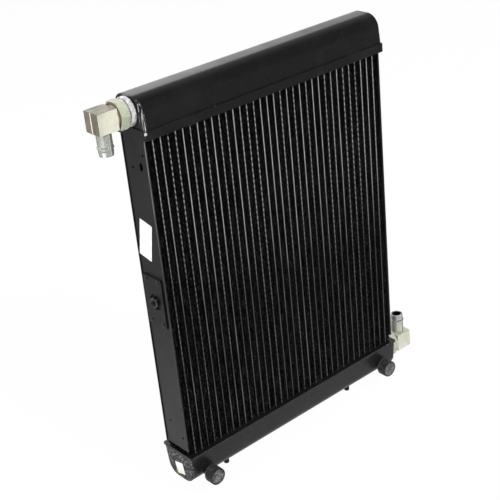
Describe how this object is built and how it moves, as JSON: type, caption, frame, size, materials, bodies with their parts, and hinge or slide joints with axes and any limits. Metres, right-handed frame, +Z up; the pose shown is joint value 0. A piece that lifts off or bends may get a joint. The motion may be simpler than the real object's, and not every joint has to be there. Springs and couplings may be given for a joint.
{
  "type": "hydraulic oil cooler",
  "caption": "Upright tube-and-fin oil cooler: flat tubes and folded fins between two welded tanks, swivel hose elbows, rubber bumpers, mounting studs.",
  "frame": {"origin": "centre of the two-stud pattern on the flat underside of the bottom tank, at mid-depth of the core", "axes": "+X along the tanks towards the outlet end, +Y through the core from the bumper side to the back, +Z up towards the inlet tank"},
  "size_m": [0.5116, 0.078, 0.5799],
  "materials": {
    "black_paint": "satin black paint over aluminium",
    "tube_metal": "thin worn paint over bare tube noses",
    "fin_metal": "black paint on foil",
    "bare_aluminium": "bare turned metal",
    "plated_steel": "yellow-passivated zinc plate",
    "stud_metal": "clear zinc plate",
    "black_rubber": "matt black",
    "label_film": "plain white film"
  },
  "bodies": {
    "cooler": {"bottom_tank": "black_paint", "top_tank": "black_paint", "bottom_cap_left": "black_paint", "bottom_cap_right": "black_paint", "top_cap_left": "black_paint", "top_cap_right": "black_paint", "top_header": "black_paint", "bottom_header": "black_paint", "side_plate_left": "black_paint", "side_plate_right": "black_paint", "bracket_plate": "black_paint", "oil_tubes": "tube_metal", "air_fins": "fin_metal", "turbulators": "bare_aluminium", "inlet_port_boss": "bare_aluminium", "outlet_port_boss": "bare_aluminium", "inlet_washer": "plated_steel", "inlet_lock_nut": "plated_steel", "outlet_washer": "plated_steel", "outlet_lock_nut": "plated_steel", "inlet_seal_ring": "black_rubber", "outlet_seal_ring": "black_rubber", "bumper_left": "black_rubber", "bumper_right": "black_rubber", "bumper_insert_left": "plated_steel", "bumper_insert_right": "plated_steel", "bumper_weld_stud_left": "stud_metal", "bumper_weld_stud_right": "stud_metal", "bottom_stud_left": "stud_metal", "bottom_stud_right": "stud_metal", "bracket_rivets": "stud_metal", "bracket_nut": "plated_steel", "bracket_stud": "stud_metal", "side_label": "label_film", "cap_label": "label_film"},
    "inlet_elbow_body": {"inlet_elbow": "plated_steel"},
    "outlet_elbow_body": {"outlet_elbow": "plated_steel"}
  },
  "joints": [
    {"name": "inlet_elbow_swivel", "type": "hinge", "parent": "cooler", "child": "inlet_elbow_body", "pos_m": [-0.2272, 0, 0.5416], "axis": [1, 0, 0], "range_deg": [-180, 180]},
    {"name": "outlet_elbow_swivel", "type": "hinge", "parent": "cooler", "child": "outlet_elbow_body", "pos_m": [0.2272, 0, 0.0216], "axis": [1, 0, 0], "range_deg": [-180, 180]}
  ]
}
